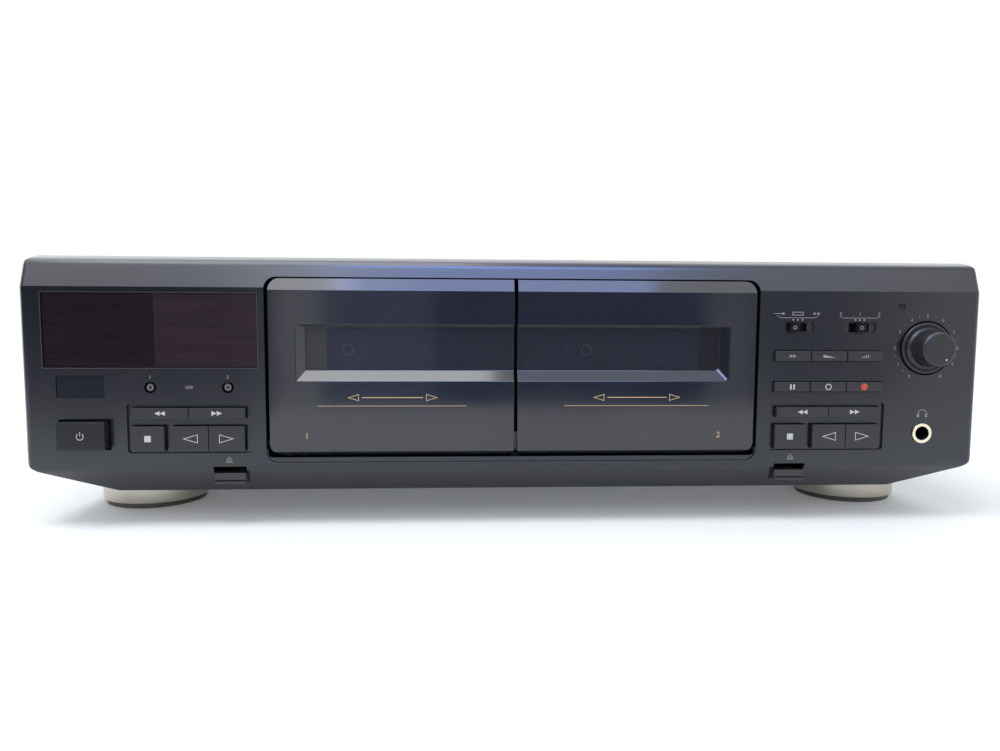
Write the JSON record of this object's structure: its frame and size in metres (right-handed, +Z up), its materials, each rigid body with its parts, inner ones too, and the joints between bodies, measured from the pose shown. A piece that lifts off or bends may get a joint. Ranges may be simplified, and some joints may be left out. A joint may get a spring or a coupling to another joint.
{
  "type": "double cassette deck",
  "caption": "Wide, low hi-fi tape deck with hinged smoked doors over its cassette drives, transport keys, slide switches, a level knob, a dark display and round feet.",
  "frame": {"origin": "middle of the footprint of the bounding box, on the floor under the feet", "axes": "+X to the right as seen from the front, +Y from the front to the rear, +Z up"},
  "size_m": [0.43, 0.2906, 0.12],
  "materials": {
    "panel_plastic": "fine grained charcoal moulding",
    "cover_paint": "satin black paint",
    "zinc_steel": "zinc plated sheet",
    "black_steel": "black coated sheet",
    "foot_metal": "turned, champagne tint",
    "foot_plastic": "plain black",
    "display_smoke": "smoked, dark red",
    "lens_blue": "dark blue",
    "jack_gold": "pale gold plating",
    "socket_plastic": "black moulding",
    "screw_steel": "black zinc",
    "board": "green board",
    "iron_core": "varnished core",
    "motor_can": "plated can",
    "belt_rubber": "ground belt",
    "key_plastic": "fine grained charcoal",
    "slider_plastic": "black",
    "knob_plastic": "satin charcoal",
    "door_smoke": "smoked acrylic",
    "holder_plastic": "black moulding",
    "reel_plastic": "dark grey moulding",
    "wheel_steel": "ground",
    "pulley_brass": "turned",
    "head_steel": "polished head on a plated plate",
    "roller_rubber": "ground rubber"
  },
  "bodies": {
    "cabinet": {"front_panel": "panel_plastic", "top_cover": "cover_paint", "chassis": "zinc_steel", "rear_panel": "zinc_steel", "front_feet": "foot_metal", "rear_feet": "foot_plastic", "display_window": "display_smoke", "front_lenses": "lens_blue", "phones_jack": "jack_gold", "rear_fittings": "socket_plastic", "cover_screws": "screw_steel", "circuit_boards": "board", "transformer": "iron_core", "mechanism_plates": "black_steel", "motors": "motor_can", "drive_belts": "belt_rubber"},
    "power_button": {"power_button": "key_plastic"},
    "rewind_key_a": {"rewind_key_a": "key_plastic"},
    "forward_key_a": {"forward_key_a": "key_plastic"},
    "stop_key_a": {"stop_key_a": "key_plastic"},
    "reverse_key_a": {"reverse_key_a": "key_plastic"},
    "play_key_a": {"play_key_a": "key_plastic"},
    "rewind_key_b": {"rewind_key_b": "key_plastic"},
    "forward_key_b": {"forward_key_b": "key_plastic"},
    "stop_key_b": {"stop_key_b": "key_plastic"},
    "reverse_key_b": {"reverse_key_b": "key_plastic"},
    "play_key_b": {"play_key_b": "key_plastic"},
    "dubbing_speed_key": {"dubbing_speed_key": "key_plastic"},
    "fader_key": {"fader_key": "key_plastic"},
    "auto_level_key": {"auto_level_key": "key_plastic"},
    "pause_key": {"pause_key": "key_plastic"},
    "rec_mute_key": {"rec_mute_key": "key_plastic"},
    "record_key": {"record_key": "key_plastic"},
    "counter_reset_a": {"counter_reset_a": "key_plastic"},
    "counter_reset_b": {"counter_reset_b": "key_plastic"},
    "eject_lever_a": {"eject_lever_a": "key_plastic"},
    "eject_lever_b": {"eject_lever_b": "key_plastic"},
    "direction_slider": {"direction_slider": "slider_plastic"},
    "noise_filter_slider": {"noise_filter_slider": "slider_plastic"},
    "rec_level_knob": {"rec_level_knob": "knob_plastic"},
    "door_a": {"door_a_cover": "door_smoke", "door_a_holder": "holder_plastic"},
    "reel_a_left": {"reel_a_left": "reel_plastic"},
    "reel_a_right": {"reel_a_right": "reel_plastic"},
    "capstan_a_left": {"capstan_a_left": "wheel_steel"},
    "capstan_a_right": {"capstan_a_right": "wheel_steel"},
    "motor_pulley_a": {"motor_pulley_a": "pulley_brass"},
    "head_carriage_a": {"head_carriage_a": "head_steel"},
    "pinch_roller_a_left": {"pinch_roller_a_left": "roller_rubber"},
    "pinch_roller_a_right": {"pinch_roller_a_right": "roller_rubber"},
    "door_b": {"door_b_cover": "door_smoke", "door_b_holder": "holder_plastic"},
    "reel_b_left": {"reel_b_left": "reel_plastic"},
    "reel_b_right": {"reel_b_right": "reel_plastic"},
    "capstan_b_left": {"capstan_b_left": "wheel_steel"},
    "capstan_b_right": {"capstan_b_right": "wheel_steel"},
    "motor_pulley_b": {"motor_pulley_b": "pulley_brass"},
    "head_carriage_b": {"head_carriage_b": "head_steel"},
    "pinch_roller_b_left": {"pinch_roller_b_left": "roller_rubber"},
    "pinch_roller_b_right": {"pinch_roller_b_right": "roller_rubber"}
  },
  "joints": [
    {"name": "power_button_press", "type": "slide", "parent": "cabinet", "child": "power_button", "axis": [0, 1, 0], "range_m": [0, 0.0025], "stiffness_N_per_m": 600, "springref_m": -0.001},
    {"name": "rewind_key_a_press", "type": "slide", "parent": "cabinet", "child": "rewind_key_a", "axis": [0, 1, 0], "range_m": [0, 0.0012], "stiffness_N_per_m": 800, "springref_m": -0.0006},
    {"name": "forward_key_a_press", "type": "slide", "parent": "cabinet", "child": "forward_key_a", "axis": [0, 1, 0], "range_m": [0, 0.0012], "stiffness_N_per_m": 800, "springref_m": -0.0006},
    {"name": "stop_key_a_press", "type": "slide", "parent": "cabinet", "child": "stop_key_a", "axis": [0, 1, 0], "range_m": [0, 0.0012], "stiffness_N_per_m": 800, "springref_m": -0.0006},
    {"name": "reverse_key_a_press", "type": "slide", "parent": "cabinet", "child": "reverse_key_a", "axis": [0, 1, 0], "range_m": [0, 0.0012], "stiffness_N_per_m": 800, "springref_m": -0.0006},
    {"name": "play_key_a_press", "type": "slide", "parent": "cabinet", "child": "play_key_a", "axis": [0, 1, 0], "range_m": [0, 0.0012], "stiffness_N_per_m": 800, "springref_m": -0.0006},
    {"name": "rewind_key_b_press", "type": "slide", "parent": "cabinet", "child": "rewind_key_b", "axis": [0, 1, 0], "range_m": [0, 0.0012], "stiffness_N_per_m": 800, "springref_m": -0.0006},
    {"name": "forward_key_b_press", "type": "slide", "parent": "cabinet", "child": "forward_key_b", "axis": [0, 1, 0], "range_m": [0, 0.0012], "stiffness_N_per_m": 800, "springref_m": -0.0006},
    {"name": "stop_key_b_press", "type": "slide", "parent": "cabinet", "child": "stop_key_b", "axis": [0, 1, 0], "range_m": [0, 0.0012], "stiffness_N_per_m": 800, "springref_m": -0.0006},
    {"name": "reverse_key_b_press", "type": "slide", "parent": "cabinet", "child": "reverse_key_b", "axis": [0, 1, 0], "range_m": [0, 0.0012], "stiffness_N_per_m": 800, "springref_m": -0.0006},
    {"name": "play_key_b_press", "type": "slide", "parent": "cabinet", "child": "play_key_b", "axis": [0, 1, 0], "range_m": [0, 0.0012], "stiffness_N_per_m": 800, "springref_m": -0.0006},
    {"name": "dubbing_speed_key_press", "type": "slide", "parent": "cabinet", "child": "dubbing_speed_key", "axis": [0, 1, 0], "range_m": [0, 0.0012], "stiffness_N_per_m": 800, "springref_m": -0.0006},
    {"name": "fader_key_press", "type": "slide", "parent": "cabinet", "child": "fader_key", "axis": [0, 1, 0], "range_m": [0, 0.0012], "stiffness_N_per_m": 800, "springref_m": -0.0006},
    {"name": "auto_level_key_press", "type": "slide", "parent": "cabinet", "child": "auto_level_key", "axis": [0, 1, 0], "range_m": [0, 0.0012], "stiffness_N_per_m": 800, "springref_m": -0.0006},
    {"name": "pause_key_press", "type": "slide", "parent": "cabinet", "child": "pause_key", "axis": [0, 1, 0], "range_m": [0, 0.0012], "stiffness_N_per_m": 800, "springref_m": -0.0006},
    {"name": "rec_mute_key_press", "type": "slide", "parent": "cabinet", "child": "rec_mute_key", "axis": [0, 1, 0], "range_m": [0, 0.0012], "stiffness_N_per_m": 800, "springref_m": -0.0006},
    {"name": "record_key_press", "type": "slide", "parent": "cabinet", "child": "record_key", "axis": [0, 1, 0], "range_m": [0, 0.0012], "stiffness_N_per_m": 800, "springref_m": -0.0006},
    {"name": "counter_reset_a_press", "type": "slide", "parent": "cabinet", "child": "counter_reset_a", "axis": [0, 1, 0], "range_m": [0, 0.0012], "stiffness_N_per_m": 800, "springref_m": -0.0006},
    {"name": "counter_reset_b_press", "type": "slide", "parent": "cabinet", "child": "counter_reset_b", "axis": [0, 1, 0], "range_m": [0, 0.0012], "stiffness_N_per_m": 800, "springref_m": -0.0006},
    {"name": "eject_lever_a_press", "type": "slide", "parent": "cabinet", "child": "eject_lever_a", "axis": [0, 1, 0], "range_m": [0, 0.003], "stiffness_N_per_m": 500, "springref_m": -0.001},
    {"name": "eject_lever_b_press", "type": "slide", "parent": "cabinet", "child": "eject_lever_b", "axis": [0, 1, 0], "range_m": [0, 0.003], "stiffness_N_per_m": 500, "springref_m": -0.001},
    {"name": "direction_slider_slide", "type": "slide", "parent": "cabinet", "child": "direction_slider", "axis": [1, 0, 0], "range_m": [0, 0.0042]},
    {"name": "noise_filter_slider_slide", "type": "slide", "parent": "cabinet", "child": "noise_filter_slider", "axis": [1, 0, 0], "range_m": [-0.0021, 0.0021]},
    {"name": "rec_level_turn", "type": "hinge", "parent": "cabinet", "child": "rec_level_knob", "pos_m": [0.18967, -0.1343, 0.0807], "axis": [0, 1, 0], "range_deg": [-297, 3]},
    {"name": "door_a_open", "type": "hinge", "parent": "cabinet", "child": "door_a", "pos_m": [-0.0551, -0.1283, 0.0365], "axis": [1, 0, 0], "range_deg": [0, 28]},
    {"name": "reel_a_left_turn", "type": "hinge", "parent": "cabinet", "child": "reel_a_left", "pos_m": [-0.07635, -0.1143, 0.07858], "axis": [0, 1, 0], "continuous": true},
    {"name": "reel_a_right_turn", "type": "hinge", "parent": "cabinet", "child": "reel_a_right", "pos_m": [-0.03385, -0.1143, 0.07858], "axis": [0, 1, 0], "continuous": true},
    {"name": "capstan_a_left_turn", "type": "hinge", "parent": "cabinet", "child": "capstan_a_left", "pos_m": [-0.0796, -0.0993, 0.05225], "axis": [0, 1, 0], "continuous": true},
    {"name": "capstan_a_right_turn", "type": "hinge", "parent": "cabinet", "child": "capstan_a_right", "pos_m": [-0.0306, -0.0993, 0.05225], "axis": [0, 1, 0], "continuous": true},
    {"name": "motor_pulley_a_turn", "type": "hinge", "parent": "cabinet", "child": "motor_pulley_a", "pos_m": [-0.0191, -0.0983, 0.0931], "axis": [0, 1, 0], "continuous": true},
    {"name": "head_carriage_a_lift", "type": "slide", "parent": "cabinet", "child": "head_carriage_a", "axis": [0, 0, 1], "range_m": [0, 0.0065], "stiffness_N_per_m": 150, "springref_m": -0.002},
    {"name": "pinch_roller_a_left_turn", "type": "hinge", "parent": "head_carriage_a", "child": "pinch_roller_a_left", "pos_m": [-0.0796, -0.1173, 0.03867], "axis": [0, 1, 0], "continuous": true},
    {"name": "pinch_roller_a_right_turn", "type": "hinge", "parent": "head_carriage_a", "child": "pinch_roller_a_right", "pos_m": [-0.0306, -0.1173, 0.03867], "axis": [0, 1, 0], "continuous": true},
    {"name": "door_b_open", "type": "hinge", "parent": "cabinet", "child": "door_b", "pos_m": [0.0551, -0.1283, 0.0365], "axis": [1, 0, 0], "range_deg": [0, 28]},
    {"name": "reel_b_left_turn", "type": "hinge", "parent": "cabinet", "child": "reel_b_left", "pos_m": [0.03385, -0.1143, 0.07858], "axis": [0, 1, 0], "continuous": true},
    {"name": "reel_b_right_turn", "type": "hinge", "parent": "cabinet", "child": "reel_b_right", "pos_m": [0.07635, -0.1143, 0.07858], "axis": [0, 1, 0], "continuous": true},
    {"name": "capstan_b_left_turn", "type": "hinge", "parent": "cabinet", "child": "capstan_b_left", "pos_m": [0.0306, -0.0993, 0.05225], "axis": [0, 1, 0], "continuous": true},
    {"name": "capstan_b_right_turn", "type": "hinge", "parent": "cabinet", "child": "capstan_b_right", "pos_m": [0.0796, -0.0993, 0.05225], "axis": [0, 1, 0], "continuous": true},
    {"name": "motor_pulley_b_turn", "type": "hinge", "parent": "cabinet", "child": "motor_pulley_b", "pos_m": [0.0911, -0.0983, 0.0931], "axis": [0, 1, 0], "continuous": true},
    {"name": "head_carriage_b_lift", "type": "slide", "parent": "cabinet", "child": "head_carriage_b", "axis": [0, 0, 1], "range_m": [0, 0.0065], "stiffness_N_per_m": 150, "springref_m": -0.002},
    {"name": "pinch_roller_b_left_turn", "type": "hinge", "parent": "head_carriage_b", "child": "pinch_roller_b_left", "pos_m": [0.0306, -0.1173, 0.03867], "axis": [0, 1, 0], "continuous": true},
    {"name": "pinch_roller_b_right_turn", "type": "hinge", "parent": "head_carriage_b", "child": "pinch_roller_b_right", "pos_m": [0.0796, -0.1173, 0.03867], "axis": [0, 1, 0], "continuous": true}
  ],
  "couplings": [
    {"joint": "motor_pulley_a_turn", "follows": "capstan_a_left_turn", "ratio": 4.75},
    {"joint": "capstan_a_right_turn", "follows": "capstan_a_left_turn", "ratio": -1},
    {"joint": "motor_pulley_b_turn", "follows": "capstan_b_left_turn", "ratio": 4.75},
    {"joint": "capstan_b_right_turn", "follows": "capstan_b_left_turn", "ratio": -1}
  ]
}
